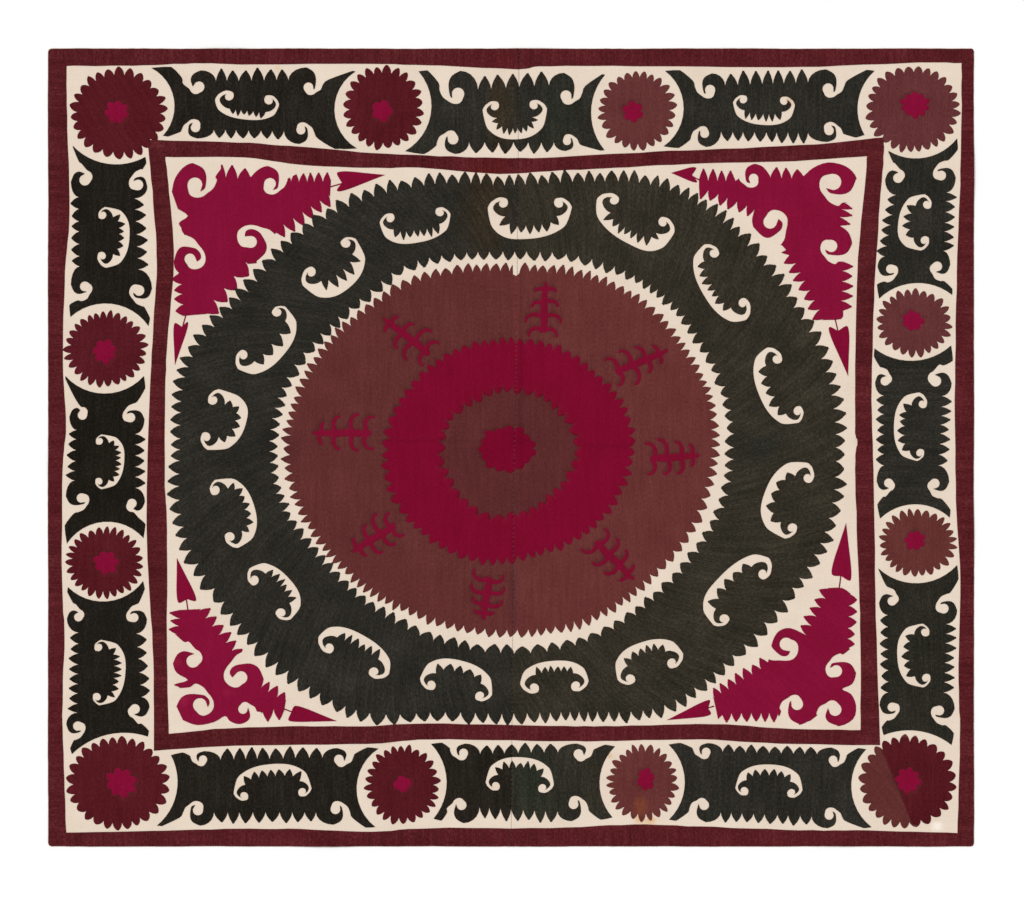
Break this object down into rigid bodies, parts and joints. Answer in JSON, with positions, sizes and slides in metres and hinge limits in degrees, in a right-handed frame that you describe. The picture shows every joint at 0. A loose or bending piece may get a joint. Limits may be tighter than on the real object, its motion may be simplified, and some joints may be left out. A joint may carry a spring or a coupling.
{
  "type": "embroidered wall hanging",
  "caption": "Flat cotton wall hanging of two joined panels, densely embroidered with a toothed ring, corner sprays and a border of rosettes and scrolled figures.",
  "frame": {"origin": "middle of the cloth's outline, on the surface that it lies on", "axes": "+Z out of the embroidered face, +X along the longer side, +Y to the edge at the picture's top"},
  "size_m": [1.854, 1.598, 0.0022],
  "materials": {
    "cotton": "plain woven cream cotton, matt",
    "band_thread": "satin of dense laid stitching, soft sheen",
    "black_thread": "dense laid stitching, soft sheen",
    "maroon_thread": "dense laid stitching, soft sheen",
    "brown_thread": "dense laid stitching, soft sheen",
    "crimson_thread": "dense laid stitching, soft sheen"
  },
  "bodies": {
    "root": {"panel_left": "cotton", "panel_right": "cotton"}
  },
  "joints": []
}
